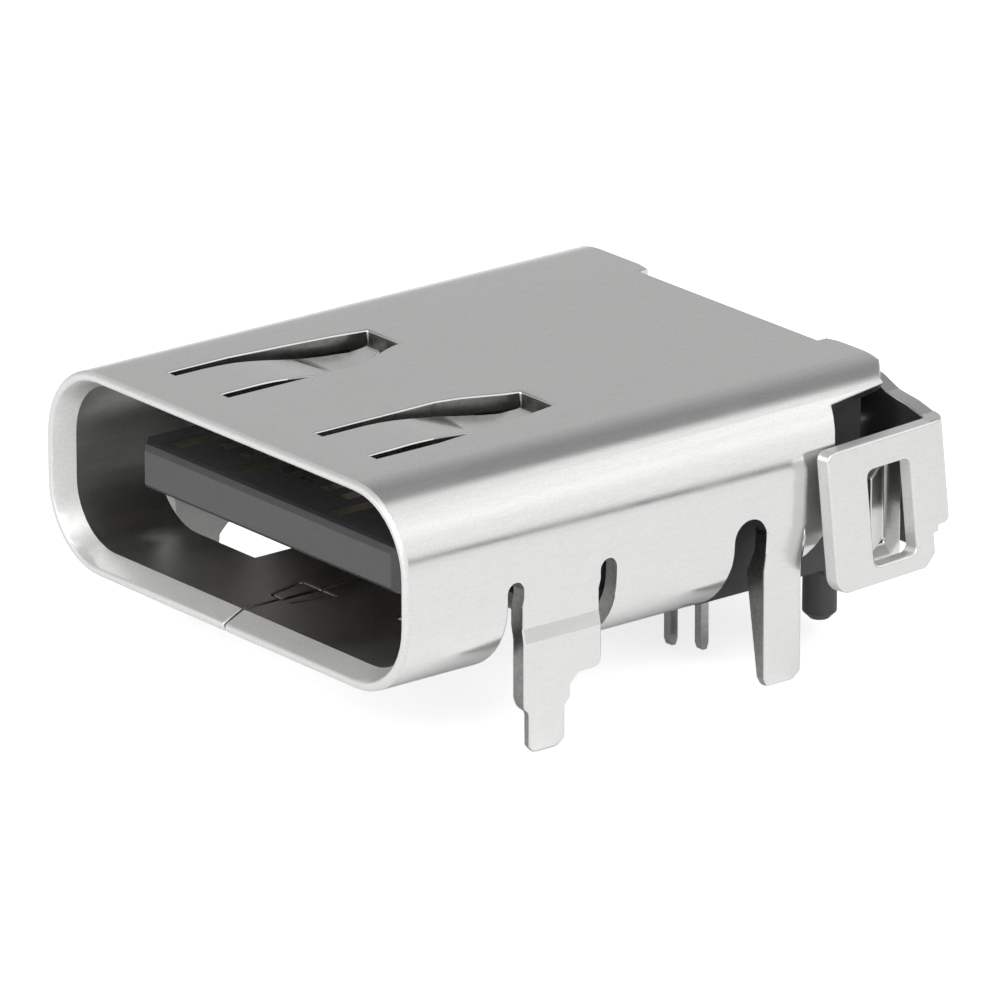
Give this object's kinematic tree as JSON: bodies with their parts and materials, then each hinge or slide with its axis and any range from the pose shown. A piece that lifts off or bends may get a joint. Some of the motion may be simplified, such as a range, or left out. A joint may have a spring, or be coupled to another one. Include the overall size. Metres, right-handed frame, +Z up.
{
  "type": "usb-c board socket",
  "caption": "Board-mounted USB-C socket: folded metal shell with spring tongues and four solder legs, latched rear shield, black moulding with contact tongue and locating posts.",
  "frame": {"origin": "middle of the mouth, in the plane of the shell's front rim", "axes": "+Y into the socket, the way the plug enters; +Z up, away from the board; X across the mouth"},
  "size_m": [0.01, 0.0106, 0.0045],
  "materials": {
    "shell_metal": "satin nickel plating on stamped sheet",
    "shield_metal": "satin nickel plating on stamped sheet",
    "black_plastic": "matt moulded plastic",
    "plate_metal": "plain stamped steel",
    "contact_gold": "gold plating on copper alloy strip"
  },
  "bodies": {
    "root": {"shell": "shell_metal", "rear_shield": "shield_metal", "housing": "black_plastic", "upper_carrier": "black_plastic", "lower_carrier": "black_plastic", "mid_plate": "plate_metal", "upper_ground_plate": "plate_metal", "lower_ground_plate": "plate_metal", "contact_a1": "contact_gold", "contact_a2": "contact_gold", "contact_a3": "contact_gold", "contact_a4": "contact_gold", "contact_a5": "contact_gold", "contact_a6": "contact_gold", "contact_a7": "contact_gold", "contact_a8": "contact_gold", "contact_a9": "contact_gold", "contact_a10": "contact_gold", "contact_a11": "contact_gold", "contact_a12": "contact_gold", "contact_b1": "contact_gold", "contact_b2": "contact_gold", "contact_b3": "contact_gold", "contact_b4": "contact_gold", "contact_b5": "contact_gold", "contact_b6": "contact_gold", "contact_b7": "contact_gold", "contact_b8": "contact_gold", "contact_b9": "contact_gold", "contact_b10": "contact_gold", "contact_b11": "contact_gold", "contact_b12": "contact_gold"}
  },
  "joints": []
}
